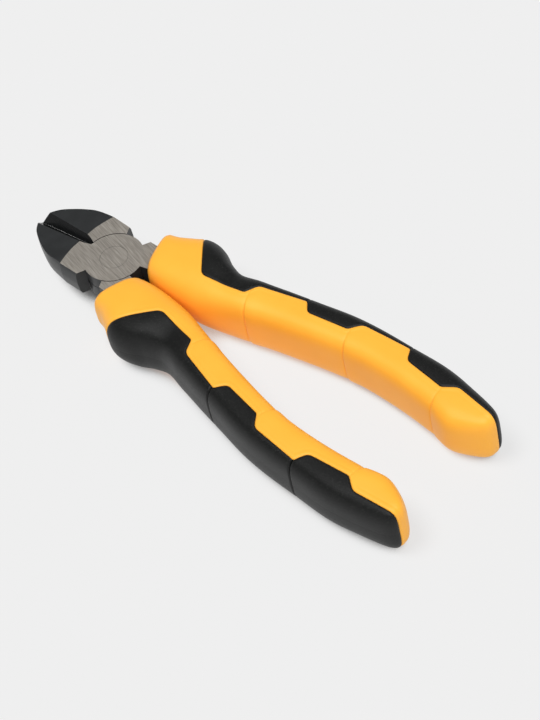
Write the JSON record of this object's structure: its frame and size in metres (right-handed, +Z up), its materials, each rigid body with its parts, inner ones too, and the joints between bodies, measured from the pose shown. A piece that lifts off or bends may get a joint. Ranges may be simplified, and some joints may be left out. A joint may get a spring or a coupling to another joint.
{
  "type": "diagonal cutting pliers",
  "caption": "Diagonal cutting pliers: lap-jointed forged levers turning on a flush rivet, bevelled cutting jaws, bowed two-tone grips with thumb lobes.",
  "frame": {"origin": "on the pivot axis, at the lower ground face of the joint", "axes": "+Y from the pivot to the jaw tips, +Z up through the pivot with the tool lying flat, +X to the right-hand grip"},
  "size_m": [0.0652, 0.203, 0.024],
  "materials": {
    "steel": "ground joint faces, blackened jaws and flanks",
    "rivet_steel": "ground flush",
    "hard_grip": "satin",
    "soft_grip": "fine matte grain"
  },
  "bodies": {
    "upper_lever": {"lever_upper": "steel", "pivot_rivet": "rivet_steel", "grip_core_right": "hard_grip", "soft_pad_right_front": "soft_grip", "soft_pad_right_middle": "soft_grip", "soft_pad_right_rear": "soft_grip"},
    "lower_lever": {"lever_lower": "steel", "grip_core_left": "hard_grip", "soft_pad_left_front": "soft_grip", "soft_pad_left_middle": "soft_grip", "soft_pad_left_rear": "soft_grip"}
  },
  "joints": [
    {"name": "jaw_pivot", "type": "hinge", "parent": "upper_lever", "child": "lower_lever", "pos_m": [0, 0, 0.0054], "axis": [0, 0, -1], "range_deg": [0, 42]}
  ]
}
